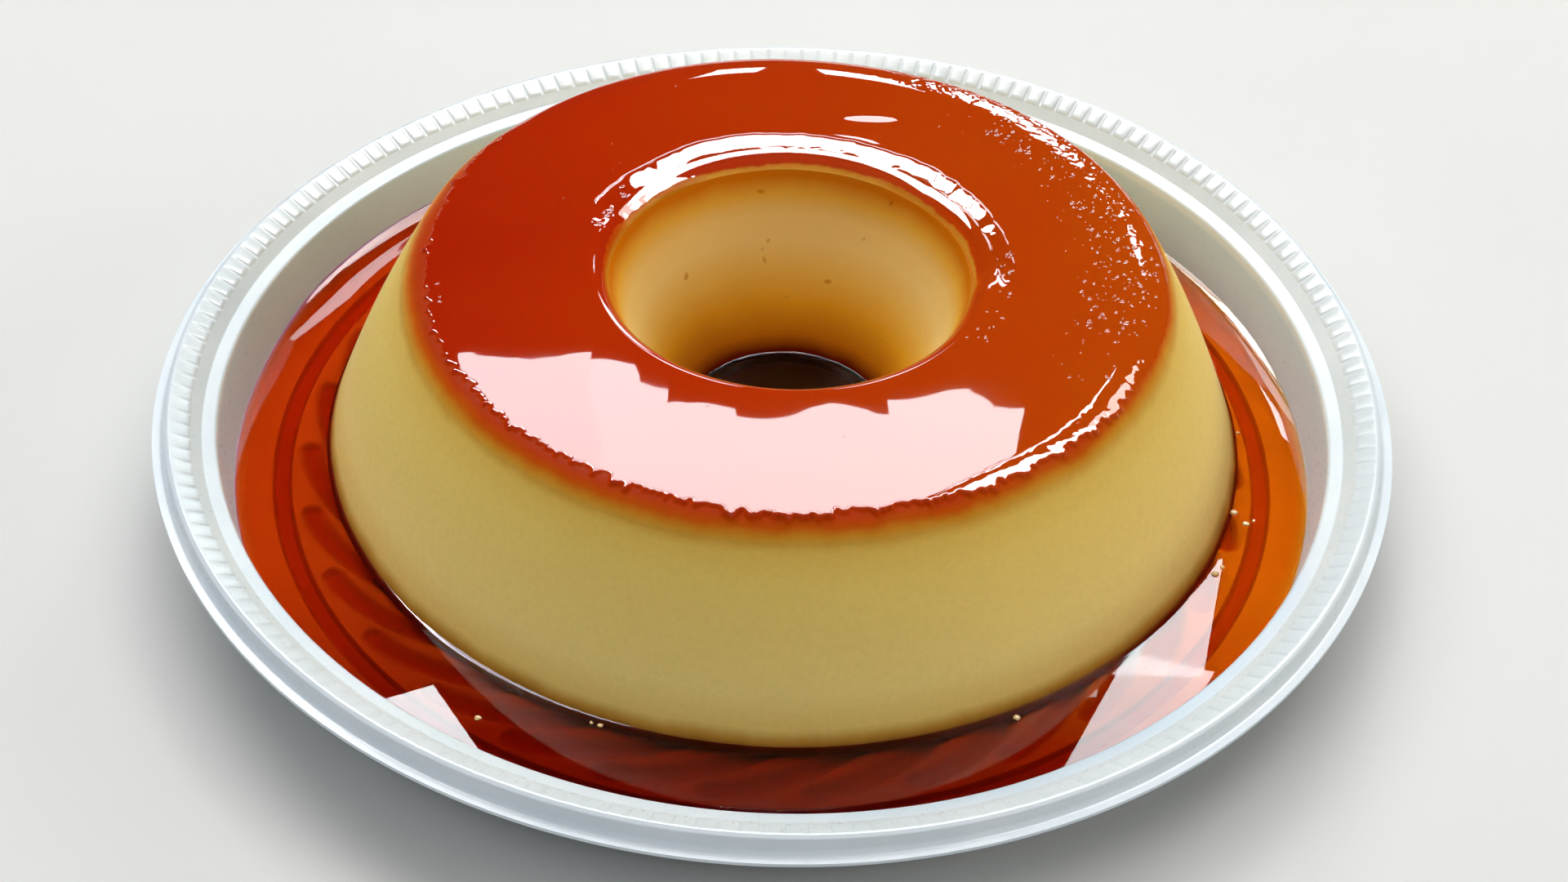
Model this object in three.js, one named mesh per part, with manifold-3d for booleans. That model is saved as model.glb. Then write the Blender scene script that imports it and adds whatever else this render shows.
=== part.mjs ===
// A ring-moulded creme caramel, turned out on the disposable plastic plate that it is served on.
// Sizes are in millimetres, +Z up. The origin is under the middle of the plate, on the surface
// that the plate stands on. Azimuths are in degrees, from the front (-Y) towards the right (+X).

import * as THREE from 'three';
import { mergeVertices } from 'three/addons/utils/BufferGeometryUtils.js';
import Module from 'manifold-3d';

const wasm = await Module();
wasm.setup();

// Clear gap between pieces that rest on or against each other, and the facets round each piece.
const GAP = 0.3;
const SEGMENTS = 64;

// ---- Plate: one thin sheet of white plastic, drawn over a mould ----

const PLATE_RADIUS = 130;
const SHEET = 0.8;

// Relief pressed down into the floor: a ring, and a rope of slanted strokes inside it.
const RELIEF_DEPTH = 1.7;
const FLOOR_TOP = SHEET + RELIEF_DEPTH;
const RING_RADIUS = 104.8;
const RING_WIDTH = 4.2;
const RING_BED_WIDTH = 2.6;
const STROKE_COUNT = 31;
const STROKE_WIDTH = 3.6;
const STROKE_OUTER_RADIUS = 99;
const STROKE_INNER_RADIUS = 86;
const STROKE_SWEEP = 20;
const STROKE_HOOK = 1.4;
const STROKE_START = 5.4;

// Side wall, and the stepped rim outside it: ledge, riser, ribbed band, lip and flange.
const WALL_FOOT_RADIUS = 114.5;
const WALL_FOOT_ROUND = 3;
const WALL_DRAFT = 10;
const LEDGE_OUTER_RADIUS = 119.9;
const LEDGE_HEIGHT = 19.4;
const LEDGE_RISE = 0.6;
const BAND_INNER_RADIUS = 122;
const BAND_INNER_HEIGHT = 22;
const BAND_OUTER_RADIUS = 126.2;
const RIM_HEIGHT = 24.4;
const RIM_ROUND = 1;
const FLANGE_WIDTH = 2.6;
const FLANGE_HEIGHT = 20.3;

// Short ribs that stand on the band and fade out towards the lip.
const RIB_COUNT = 192;
const RIB_WIDTH = 2.6;
const RIB_HEIGHT = 0.75;
const RIB_MARGIN = 0.35;

// The thin rim is sprung into a slight saddle. The floor stays flat.
const SADDLE_RISE = 1.3;
const SADDLE_HIGH_AZIMUTH = 124;

// ---- Flan: a ring of custard with a thin layer of caramel soaked into its top ----

const FLAN_X = 2.5;
const FLAN_Y = 9.5;
const FLAN_TOP = 48;
const FLAN_BOTTOM = FLOOR_TOP + GAP;
const FOOT_RADIUS = 98.6;
const FOOT_ROUND = 0.9;
const SIDE_BULGE = 0.9;
const SHOULDER_CENTRE_RADIUS = 73;
const SHOULDER_ROUND = 9;
const SHOULDER_START = 24;
const LIP_CENTRE_RADIUS = 44.1;
const LIP_ROUND = 7;
const LIP_END = 157;
const HOLE_BOTTOM_RADIUS = 20.3;

const CARAMEL_LAYER = 1.5;
const CARAMEL_START = 28;
const CARAMEL_END = 152;

// ---- Syrup: what has run off the flan, round it and in its hole ----

const SYRUP_LEVEL = 6;

const degrees = THREE.MathUtils.degToRad;

// Points of an arc in a turned profile, its angles measured from straight outwards.
function arc(centreRadius, centreHeight, round, from, to, steps) {
  const points = [];
  for (let step = 0; step <= steps; step++) {
    const angle = degrees(from + ((to - from) * step) / steps);
    const radius = centreRadius + round * Math.cos(angle);
    points.push(new THREE.Vector2(radius, centreHeight + round * Math.sin(angle)));
  }
  return points;
}

function point(radius, height) {
  return new THREE.Vector2(radius, height);
}

// A closed three.js geometry as a solid that can be joined and cut.
function solidOf(geometry) {
  geometry.deleteAttribute('normal');
  geometry.deleteAttribute('uv');
  const welded = mergeVertices(geometry, 1e-4);
  const corners = welded.index.array;
  const triVerts = [];
  for (let i = 0; i < corners.length; i += 3) {
    const [a, b, c] = corners.slice(i, i + 3);
    if (a !== b && b !== c && c !== a) {
      triVerts.push(a, b, c);
    }
  }
  const mesh = new wasm.Mesh({
    numProp: 3,
    vertProperties: welded.attributes.position.array,
    triVerts: new Uint32Array(triVerts),
  });
  return new wasm.Manifold(mesh);
}

// A profile turned round an upright axis. It runs anticlockwise, seen with the radius to the right.
function turned(profile, x = 0, y = 0) {
  const geometry = new THREE.LatheGeometry(profile, SEGMENTS);
  geometry.rotateX(Math.PI / 2);
  geometry.translate(x, y, 0);
  return solidOf(geometry);
}

// A ring whose profile doesn't touch the axis.
function turnedRing(profile, x, y) {
  return turned([...profile, profile[0].clone()], x, y);
}

function namedMesh(name, solid, material, reshape) {
  const { vertProperties, triVerts } = solid.getMesh();
  const geometry = new THREE.BufferGeometry();
  geometry.setAttribute('position', new THREE.BufferAttribute(vertProperties, 3));
  geometry.setIndex(new THREE.BufferAttribute(triVerts, 1));
  if (reshape) {
    reshape(geometry.attributes.position);
  }
  geometry.computeVertexNormals();
  const mesh = new THREE.Mesh(geometry, material);
  mesh.name = name;
  return mesh;
}

// ---- Making the plate ----

// The rounded foot of the wall, or a line inside it by the given clearance.
function wallFoot(clearance) {
  const centreRadius = WALL_FOOT_RADIUS - WALL_FOOT_ROUND;
  const centreHeight = FLOOR_TOP + WALL_FOOT_ROUND;
  return arc(centreRadius, centreHeight, WALL_FOOT_ROUND - clearance, -90, -WALL_DRAFT, 2);
}

// Radius of the inside of the plate's wall, above its rounded foot.
function wallRadius(height) {
  const start = wallFoot(0).at(-1);
  return start.x + (height - start.y) * Math.tan(degrees(WALL_DRAFT));
}

// The pressed ring's section from its inner edge to its outer edge, over a floor at this height.
function ringGroove(floor) {
  return [
    point(RING_RADIUS - RING_WIDTH / 2, floor),
    point(RING_RADIUS - RING_BED_WIDTH / 2, floor - RELIEF_DEPTH),
    point(RING_RADIUS + RING_BED_WIDTH / 2, floor - RELIEF_DEPTH),
    point(RING_RADIUS + RING_WIDTH / 2, floor),
  ];
}

// The plate's upper face, from the middle of the floor out to the edge of the flange.
function upperFace() {
  const lipRadius = PLATE_RADIUS - FLANGE_WIDTH;
  return [
    point(0, FLOOR_TOP),
    ...ringGroove(FLOOR_TOP),
    ...wallFoot(0),
    point(wallRadius(LEDGE_HEIGHT), LEDGE_HEIGHT),
    point(LEDGE_OUTER_RADIUS, LEDGE_HEIGHT + LEDGE_RISE),
    point(BAND_INNER_RADIUS, BAND_INNER_HEIGHT),
    point(BAND_OUTER_RADIUS, RIM_HEIGHT),
    point(BAND_OUTER_RADIUS + RIM_ROUND, RIM_HEIGHT - RIM_ROUND / 2),
    point(lipRadius, FLANGE_HEIGHT),
    point(PLATE_RADIUS, FLANGE_HEIGHT),
  ];
}

// The sheet's lower face: the upper face moved by the sheet's thickness, corner by corner.
function lowerFace(upper) {
  return upper.map((corner, index) => {
    const before = upper[Math.max(index - 1, 0)];
    const after = upper[Math.min(index + 1, upper.length - 1)];
    const into = corner.clone().sub(index ? before : corner);
    const out = after.clone().sub(corner);
    const first = into.length() ? into.normalize() : out.clone().normalize();
    const second = out.length() ? out.normalize() : first.clone();
    const bisector = first.clone().add(second).normalize();
    const offset = SHEET / bisector.dot(first);
    return point(corner.x + bisector.y * offset, corner.y - bisector.x * offset);
  });
}

// One stroke's outline on the floor: round ends, and a path that hooks in towards the middle.
function strokeOutline(start, margin) {
  const along = (t) => {
    const drop = (STROKE_OUTER_RADIUS - STROKE_INNER_RADIUS) * t ** STROKE_HOOK;
    const radius = STROKE_OUTER_RADIUS - drop;
    const azimuth = degrees(start + STROKE_SWEEP * t);
    return point(radius * Math.sin(azimuth), -radius * Math.cos(azimuth));
  };
  const half = STROKE_WIDTH / 2 + margin;
  const stations = [0, 0.5, 1].map((t) => {
    const middle = along(t);
    const heading = along(t + 0.02).sub(along(Math.max(t - 0.02, 0))).normalize();
    return { middle, heading };
  });
  const side = (station, way) =>
    point(-station.heading.y, station.heading.x).multiplyScalar(way * half).add(station.middle);
  const tip = (station, way) =>
    station.heading.clone().multiplyScalar(way * half * 0.9).add(station.middle);
  return [
    tip(stations[0], -1),
    ...stations.map((station) => side(station, -1)),
    tip(stations[2], 1),
    ...stations.reverse().map((station) => side(station, 1)),
  ];
}

function stroke(index, margin, bottom, top) {
  const start = STROKE_START + (360 / STROKE_COUNT) * index;
  const shape = new THREE.Shape(strokeOutline(start, margin));
  const settings = { depth: top - bottom, bevelEnabled: false };
  const geometry = new THREE.ExtrudeGeometry(shape, settings);
  geometry.translate(0, 0, bottom);
  return solidOf(geometry);
}

// A rib is a low three-sided spike that lies along the band, its blunt end by the riser.
function rib(index) {
  const run = BAND_OUTER_RADIUS - BAND_INNER_RADIUS;
  const rise = RIM_HEIGHT - BAND_INNER_HEIGHT;
  const length = Math.hypot(run, rise) - 2 * RIB_MARGIN;
  const geometry = new THREE.ConeGeometry(1, 1, 3);
  geometry.translate(0, 0.5, 0);
  geometry.scale(RIB_WIDTH / Math.sqrt(3), length, RIB_HEIGHT);
  geometry.translate(0, RIB_MARGIN, 0);
  geometry.rotateX(Math.atan2(rise, run));
  geometry.translate(0, BAND_INNER_RADIUS, BAND_INNER_HEIGHT);
  geometry.rotateZ(degrees((360 / RIB_COUNT) * (index + 0.5)));
  return solidOf(geometry);
}

function repeated(count, make) {
  return Array.from({ length: count }, (_, index) => make(index));
}

function plateSolid() {
  const upper = upperFace();
  const sheet = turned([...lowerFace(upper), ...upper.reverse()]);
  const ribs = repeated(RIB_COUNT, rib);
  const backs = repeated(STROKE_COUNT, (i) => stroke(i, SHEET, 0, FLOOR_TOP - SHEET / 2));
  const grooves = repeated(STROKE_COUNT, (i) => stroke(i, 0, SHEET, FLOOR_TOP + 1));
  const raised = wasm.Manifold.union([sheet, ...ribs, ...backs]);
  return raised.subtract(wasm.Manifold.union(grooves));
}

// Lifts and lowers the rim by turns round the plate, the more the higher up the wall.
function springRim(positions) {
  for (let i = 0; i < positions.count; i++) {
    const height = positions.getZ(i);
    const share = Math.max(0, height - FLOOR_TOP) / (LEDGE_HEIGHT - FLOOR_TOP);
    const azimuth = Math.atan2(positions.getX(i), -positions.getY(i));
    const lift = Math.cos(2 * (azimuth - degrees(SADDLE_HIGH_AZIMUTH)));
    positions.setZ(i, height + SADDLE_RISE * share * lift);
  }
}

// ---- Making the flan ----

// The flan's side at a share of the way from its foot to the shoulder, slightly bulged.
function flanSide(share) {
  const foot = point(FOOT_RADIUS, FLAN_BOTTOM + FOOT_ROUND);
  const centreHeight = FLAN_TOP - SHOULDER_ROUND;
  const [top] = arc(SHOULDER_CENTRE_RADIUS, centreHeight, SHOULDER_ROUND, SHOULDER_START, 90, 1);
  const bulge = 4 * SIDE_BULGE * share * (1 - share);
  return foot.lerp(top, share).add(point(bulge, 0));
}

// The top's rounded edges, at a depth below the flan's outer form.
function shoulder(depth, from, to, steps) {
  const centreHeight = FLAN_TOP - SHOULDER_ROUND;
  return arc(SHOULDER_CENTRE_RADIUS, centreHeight, SHOULDER_ROUND - depth, from, to, steps);
}

function holeLip(depth, from, to, steps) {
  return arc(LIP_CENTRE_RADIUS, FLAN_TOP - LIP_ROUND, LIP_ROUND - depth, from, to, steps);
}

// The custard ring. Its top is set back under the caramel layer.
function flanSolid() {
  const setBack = CARAMEL_LAYER + GAP;
  const outerStep = CARAMEL_START - THREE.MathUtils.radToDeg(GAP / SHOULDER_ROUND);
  const innerStep = CARAMEL_END + THREE.MathUtils.radToDeg(GAP / LIP_ROUND);
  const profile = [
    point(HOLE_BOTTOM_RADIUS, FLAN_BOTTOM),
    point(FOOT_RADIUS - FOOT_ROUND, FLAN_BOTTOM),
    ...[0, 1 / 3, 2 / 3].map(flanSide),
    ...shoulder(0, SHOULDER_START, outerStep, 1),
    ...shoulder(setBack, outerStep, 90, 2),
    ...holeLip(setBack, 90, innerStep, 2),
    ...holeLip(0, innerStep, LIP_END, 1),
  ];
  return turnedRing(profile, FLAN_X, FLAN_Y);
}

function caramelSolid() {
  const profile = [
    ...shoulder(0, CARAMEL_START, 90, 3),
    ...holeLip(0, 90, CARAMEL_END, 3),
    ...holeLip(CARAMEL_LAYER, CARAMEL_END, 90, 2),
    ...shoulder(CARAMEL_LAYER, 90, CARAMEL_START, 2),
  ];
  return turnedRing(profile, FLAN_X, FLAN_Y);
}

// ---- Making the syrup ----

// The pool fills the plate up to its level, less the room that the flan takes.
function poolSolid() {
  const bottom = FLOOR_TOP + GAP;
  const top = point(wallRadius(SYRUP_LEVEL) - GAP, SYRUP_LEVEL);
  const dish = [point(0, bottom), ...ringGroove(bottom), ...wallFoot(GAP), top, point(0, SYRUP_LEVEL)];
  const above = 0.2;
  const sides = [0, above].map((share) => flanSide(share).add(point(GAP, 0)));
  const footprint = [point(0, -1), point(sides[0].x, -1), ...sides, point(0, sides[1].y)];
  return turned(dish).subtract(turned(footprint, FLAN_X, FLAN_Y));
}

// Radius of the flan's hole at a height, below its rounded lip.
function holeRadius(height) {
  const [lip] = holeLip(0, LIP_END, LIP_END, 1);
  const share = (height - FLAN_BOTTOM) / (lip.y - FLAN_BOTTOM);
  return HOLE_BOTTOM_RADIUS + (lip.x - HOLE_BOTTOM_RADIUS) * share;
}

function wellSolid() {
  const bottom = FLOOR_TOP + GAP;
  const profile = [
    point(0, bottom),
    point(holeRadius(bottom) - GAP, bottom),
    point(holeRadius(SYRUP_LEVEL) - GAP, SYRUP_LEVEL),
    point(0, SYRUP_LEVEL),
  ];
  return turned(profile, FLAN_X, FLAN_Y);
}

// ---- Finishes ----

function whitePlastic() {
  return new THREE.MeshStandardMaterial({ color: 0xeff2f2, roughness: 0.35, metalness: 0 });
}

function custard() {
  return new THREE.MeshStandardMaterial({ color: 0xd8b265, roughness: 0.5, metalness: 0 });
}

function caramel() {
  return new THREE.MeshStandardMaterial({ color: 0xc04208, roughness: 0.1, metalness: 0 });
}

function syrup() {
  return new THREE.MeshStandardMaterial({ color: 0x8c1e04, roughness: 0.05, metalness: 0 });
}

const flanOnPlate = new THREE.Group();
flanOnPlate.add(
  namedMesh('plate', plateSolid(), whitePlastic(), springRim),
  namedMesh('flan', flanSolid(), custard()),
  namedMesh('caramel_top', caramelSolid(), caramel()),
  namedMesh('syrup_pool', poolSolid(), syrup()),
  namedMesh('syrup_well', wellSolid(), syrup()),
);

export default flanOnPlate;
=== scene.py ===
import math
import random

import bmesh
import bpy
import numpy as np
from mathutils import Matrix, Quaternion, Vector, noise


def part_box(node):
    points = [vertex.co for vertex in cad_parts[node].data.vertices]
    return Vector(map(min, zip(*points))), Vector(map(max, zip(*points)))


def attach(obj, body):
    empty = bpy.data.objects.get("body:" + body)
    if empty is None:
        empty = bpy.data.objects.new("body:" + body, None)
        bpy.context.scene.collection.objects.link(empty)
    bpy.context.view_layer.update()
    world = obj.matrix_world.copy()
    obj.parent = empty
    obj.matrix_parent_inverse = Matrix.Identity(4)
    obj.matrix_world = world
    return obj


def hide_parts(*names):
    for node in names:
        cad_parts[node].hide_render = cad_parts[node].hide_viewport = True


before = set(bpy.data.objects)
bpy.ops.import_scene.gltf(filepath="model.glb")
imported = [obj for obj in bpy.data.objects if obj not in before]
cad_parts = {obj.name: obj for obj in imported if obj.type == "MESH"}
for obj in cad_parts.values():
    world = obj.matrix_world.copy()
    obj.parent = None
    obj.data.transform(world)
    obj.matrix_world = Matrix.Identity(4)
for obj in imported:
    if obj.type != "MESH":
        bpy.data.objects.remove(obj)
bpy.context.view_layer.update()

# ---- Plate ----
# A round disposable plate: one thin sheet of white plastic, warmed and drawn over a mould. A ring
# and a rope of slanted strokes are pressed down into its floor, and its rim is stepped and ribbed.

MM = 0.001
BASE_STEPS = 384

PLATE_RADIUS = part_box("plate")[1].x
SHEET = 0.8 * MM
RELIEF_DEPTH = 1.7 * MM
FLOOR_TOP = SHEET + RELIEF_DEPTH
RING_RADIUS = 104.8 * MM
RING_WIDTH = 4.2 * MM
RING_BED_WIDTH = 2.6 * MM
STROKE_COUNT = 31
STROKE_WIDTH = 3.6 * MM
STROKE_OUTER_RADIUS = 99 * MM
STROKE_INNER_RADIUS = 86 * MM
STROKE_SWEEP = 20
STROKE_HOOK = 1.4
STROKE_START = 5.4
STROKE_EDGE = 2.2 * MM
STROKE_ZONE = (84.6 * MM, 101.4 * MM)
WALL_FOOT = (113.98 * MM, FLOOR_TOP)
WALL_FOOT_ROUND = 3 * MM
WALL_DRAFT = math.radians(10)
WALL_TOP = 19.4 * MM
LEDGE_EDGE = (119.9 * MM, 20 * MM)
BAND_START = (122 * MM, 22 * MM)
BAND_END = (126.2 * MM, 24.4 * MM)
LIP = (127.2 * MM, 23.9 * MM)
FLANGE_ROOT = (127.4 * MM, 20.3 * MM)
RIB_COUNT = 192
RIB_HEIGHT = 0.36 * MM
RIB_ZONE = (121.8 * MM, 126.4 * MM)
RIB_REACH = (122 * MM, 126.3 * MM)
RIB_LOWEST = 21.6 * MM
STROKE_ROW = 0.95 * MM
RIB_ROW = 0.6 * MM
SADDLE_RISE = 1.3 * MM
SADDLE_HIGH_AZIMUTH = math.radians(124)


def rounded(corners, steps=4):
    """Corners of a profile as (radius, height, rounding), with each corner rounded off."""
    line = []
    for index, (radius, height, rounding) in enumerate(corners):
        here = Vector((radius, height))
        if not rounding:
            line.append(here)
            continue
        before = (Vector(corners[index - 1][:2]) - here).normalized()
        after = (Vector(corners[index + 1][:2]) - here).normalized()
        half = before.angle(after) / 2
        reach = rounding / math.tan(half)
        centre = here + (before + after).normalized() * rounding / math.sin(half)
        first = here + before * reach - centre
        last = here + after * reach - centre
        for step in range(steps + 1):
            line.append(centre + first.lerp(last, step / steps).normalized() * rounding)
    return line


def spread(line, spacing, start=0.0, end=1.0):
    """The same line, with points no further apart than spacing between two radii."""
    dense = [line[0]]
    for before, after in zip(line, line[1:]):
        inside = start - 1e-6 <= min(before.x, after.x) and max(before.x, after.x) <= end + 1e-6
        count = math.ceil((after - before).length / spacing) if inside else 1
        dense += [before.lerp(after, step / count) for step in range(1, count + 1)]
    return dense


def turned(line, steps=BASE_STEPS, closed=False):
    """A line of radii and heights turned full circle round the upright axis."""
    mesh = bmesh.new()
    points = [mesh.verts.new((0, -point.x, point.y)) for point in line]
    for before, after in zip(points, points[1:] + points[:1] * closed):
        mesh.edges.new((before, after))
    bmesh.ops.spin(
        mesh, geom=mesh.verts[:] + mesh.edges[:], cent=(0, 0, 0), axis=(0, 0, 1), dvec=(0, 0, 0),
        angle=math.tau, steps=steps, use_merge=True, use_duplicate=False)
    bmesh.ops.remove_doubles(mesh, verts=mesh.verts, dist=1e-7)
    bmesh.ops.recalc_face_normals(mesh, faces=mesh.faces)
    return mesh


def finer(mesh, start, end, lowest, cuts):
    """More columns between two radii, on what lies above a height."""
    edges = []
    for edge in mesh.edges:
        low, high = edge.verts
        radii = low.co.xy.length, high.co.xy.length
        level = abs(radii[0] - radii[1]) < 1e-6 and abs(low.co.z - high.co.z) < 1e-6
        if level and start <= radii[0] <= end and low.co.z > lowest:
            edges.append(edge)
    bmesh.ops.subdivide_edges(mesh, edges=edges, cuts=cuts, use_grid_fill=True)
    return mesh


def azimuth_of(point):
    return math.atan2(point.x, -point.y)


def smooth_step(value):
    share = np.clip(value, 0, 1)
    return share * share * (3 - 2 * share)


def stroke_depth(radius, azimuth, margin=0.0):
    """How far the nearest pressed stroke reaches into the floor, from 0 to 1."""
    pitch = 360 / STROKE_COUNT
    turn = (np.degrees(azimuth) - STROKE_START) % pitch
    shares = np.linspace(0, 1, 13)
    path_radius = STROKE_OUTER_RADIUS - (STROKE_OUTER_RADIUS - STROKE_INNER_RADIUS) * shares**STROKE_HOOK
    nearest = np.full(radius.shape, 1.0)
    for neighbour in range(-2, 2):
        path_turn = np.radians(neighbour * pitch + STROKE_SWEEP * shares)
        path = np.stack([path_radius * np.sin(path_turn), path_radius * np.cos(path_turn)], 1)
        point = np.stack([radius * np.sin(np.radians(turn)), radius * np.cos(np.radians(turn))], 1)
        for before, after in zip(path, path[1:]):
            along = after - before
            share = np.clip((point - before) @ along / (along @ along), 0, 1)
            away = np.linalg.norm(point - before - share[:, None] * along, axis=1)
            nearest = np.minimum(nearest, away)
    edge = STROKE_WIDTH / 2 + margin + STROKE_EDGE / 2
    return smooth_step((edge - nearest) / STROKE_EDGE)


def press_strokes(mesh, parting, depth=RELIEF_DEPTH):
    """Presses the strokes into both faces of the floor, which a height parts."""
    zone = [v for v in mesh.verts if STROKE_ZONE[0] - MM < v.co.xy.length < STROKE_ZONE[1] + MM]
    above = [v for v in zone if v.co.z > parting]
    below = [v for v in zone if v.co.z <= parting and v.co.xy.length <= STROKE_ZONE[1] + 0.1 * MM]
    for face, margin in ((above, 0.0), (below, SHEET * 0.6)):
        radius = np.array([v.co.xy.length for v in face])
        azimuth = np.array([azimuth_of(v.co) for v in face])
        level = max((v.co.z for v in face), default=0)
        for vertex, share in zip(face, stroke_depth(radius, azimuth, margin)):
            vertex.co.z = min(vertex.co.z, level - depth * share)
    quads = {face for vertex in zone for face in vertex.link_faces}
    bmesh.ops.triangulate(mesh, faces=list(quads), quad_method="SHORT_EDGE")


def upper_corners():
    """The plate's upper face as corners, from the wall's foot out to the flange."""
    wall_top = WALL_FOOT[0] + (WALL_TOP - WALL_FOOT[1]) * math.tan(WALL_DRAFT)
    return [
        (*WALL_FOOT, WALL_FOOT_ROUND),
        (wall_top, WALL_TOP, 0.9 * MM),
        (*LEDGE_EDGE, 0.7 * MM),
        (*BAND_START, 0.5 * MM),
        (*BAND_END, 0.7 * MM),
        (*LIP, 0.45 * MM),
        (*FLANGE_ROOT, 1.3 * MM),
        (PLATE_RADIUS, FLANGE_ROOT[1], 0),
    ]


def floor_corners(floor, depth=RELIEF_DEPTH, widen=0.0):
    """The floor's pressed ring as corners, from the middle outwards."""
    mouth = RING_WIDTH / 2 + widen
    bed = RING_BED_WIDTH / 2 + widen
    return [
        (0, floor, 0),
        (30 * MM, floor, 0),
        (60 * MM, floor, 0),
        (STROKE_ZONE[0], floor, 0),
        (STROKE_ZONE[1], floor, 0),
        (RING_RADIUS - mouth, floor, 0.5 * MM),
        (RING_RADIUS - bed, floor - depth, 0.5 * MM),
        (RING_RADIUS + bed, floor - depth, 0.5 * MM),
        (RING_RADIUS + mouth, floor, 0.5 * MM),
    ]


def under(corners, thickness):
    """Corners moved out through the sheet, their roundings made to match."""
    moved = []
    for index, (radius, height, rounding) in enumerate(corners):
        here = Vector((radius, height))
        before = Vector(corners[max(index - 1, 0)][:2])
        after = Vector(corners[min(index + 1, len(corners) - 1)][:2])
        first = (here - before).normalized() if index else (after - here).normalized()
        second = (after - here).normalized() if index < len(corners) - 1 else first
        middle = (first + second).normalized()
        offset = thickness / middle.dot(first)
        bend = first.x * second.y - first.y * second.x
        rounding = max(rounding + math.copysign(thickness, bend), 0.2 * MM) if rounding else 0
        moved.append((radius + middle.y * offset, height - middle.x * offset, rounding))
    return moved


plate_corners = floor_corners(FLOOR_TOP) + upper_corners()
upper_line = rounded(plate_corners, 5)
upper_line = spread(upper_line, STROKE_ROW, *STROKE_ZONE)
upper_line = spread(upper_line, RIB_ROW, 121.5 * MM, 126 * MM)
upper_line = spread(upper_line, 3 * MM, 113 * MM, 121 * MM)
lower_line = rounded(under(plate_corners, SHEET), 2)
lower_line = spread(lower_line, 1.5 * MM, *STROKE_ZONE)
plate_mesh = turned(upper_line + lower_line[::-1])
finer(plate_mesh, *STROKE_ZONE, FLOOR_TOP - SHEET / 2, 2)
finer(plate_mesh, *RIB_ZONE, 21.2 * MM, 3)
press_strokes(plate_mesh, FLOOR_TOP - SHEET / 2)

# Across one rib's pitch: where its eight columns stand, and how high.
RIB_COLUMNS = (0.0, 0.085, 0.13, 0.18, 0.5, 0.82, 0.87, 0.915)
RIB_STEPS = (0.0, 0.0, 0.75, 1.0, 1.0, 1.0, 0.75, 0.0)
rib_pitch = math.tau / RIB_COUNT
band_normal = Vector((BAND_START[1] - BAND_END[1], BAND_END[0] - BAND_START[0])).normalized()
for vertex in plate_mesh.verts:
    radius = vertex.co.xy.length
    if not RIB_REACH[0] < radius < RIB_REACH[1] or vertex.co.z < RIB_LOWEST:
        continue
    share = (radius - BAND_START[0]) / (BAND_END[0] - BAND_START[0])
    turn = azimuth_of(vertex.co) / rib_pitch
    column = round((turn % 1) * 8) % 8
    base = math.floor(turn + 1 / 16)
    rise = RIB_HEIGHT * RIB_STEPS[column] * min(share / 0.09, 1) * max(1 - share, 0) ** 0.7
    azimuth = (base + RIB_COLUMNS[column]) * rib_pitch
    radius += rise * band_normal.x
    height = vertex.co.z + rise * band_normal.y
    vertex.co = radius * math.sin(azimuth), -radius * math.cos(azimuth), height

for vertex in plate_mesh.verts:
    share = max(0.0, vertex.co.z - FLOOR_TOP) / (WALL_TOP - FLOOR_TOP)
    turn = azimuth_of(vertex.co) - SADDLE_HIGH_AZIMUTH
    vertex.co.z += SADDLE_RISE * share * math.cos(2 * turn)


def finished(name, mesh, material, slot, *nodes, crease=math.radians(50)):
    """Makes the mesh a smooth piece that rides on the part and stands for its nodes."""
    for edge in mesh.edges:
        edge.smooth = not edge.is_manifold or edge.calc_face_angle() < crease
    for face in mesh.faces:
        face.smooth = True
    data = bpy.data.meshes.new(name)
    mesh.to_mesh(data)
    mesh.free()
    piece = bpy.data.objects.new(name, data)
    bpy.context.scene.collection.objects.link(piece)
    data.materials.append(material)
    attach(piece, "root")
    if nodes:
        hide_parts(*nodes)
    return piece


def new_material(name, **settings):
    """A material with a Principled shader, its constant settings given by socket name."""
    material = bpy.data.materials.new(name)
    material.use_nodes = True
    shader = material.node_tree.nodes["Principled BSDF"]
    for socket, value in settings.items():
        shader.inputs[socket.replace("_", " ")].default_value = value
    return material, material.node_tree.nodes, material.node_tree.links, shader


def linear(red, green, blue):
    """A colour from its screen values of 0 to 255."""
    return tuple((value / 255 / 12.92) if value < 10.3 else ((value / 255 + 0.055) / 1.055) ** 2.4
                 for value in (red, green, blue)) + (1.0,)


def grey(value):
    return (value, value, value, 1)


def axes_in(nodes, links, coordinates="Object"):
    """The outputs X, Y and Z of a point, in the object's own coordinates unless others are named."""
    place = nodes.new("ShaderNodeTexCoord")
    axes = nodes.new("ShaderNodeSeparateXYZ")
    links.new(place.outputs[coordinates], axes.inputs["Vector"])
    return axes.outputs


def share_in(nodes, links, value, low, high):
    """How far a value has come from low to high, from 0 to 1."""
    share = nodes.new("ShaderNodeMapRange")
    share.inputs["From Min"].default_value = low
    share.inputs["From Max"].default_value = high
    links.new(value, share.inputs["Value"])
    return share.outputs["Result"]


def scaled_in(nodes, links, value, factor, added):
    """A value times a factor, plus a number or an output."""
    scaled = nodes.new("ShaderNodeMath")
    scaled.operation = "MULTIPLY_ADD"
    links.new(value, scaled.inputs[0])
    scaled.inputs[1].default_value = factor
    if isinstance(added, float):
        scaled.inputs[2].default_value = added
    else:
        links.new(added, scaled.inputs[2])
    return scaled.outputs[0]


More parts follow.
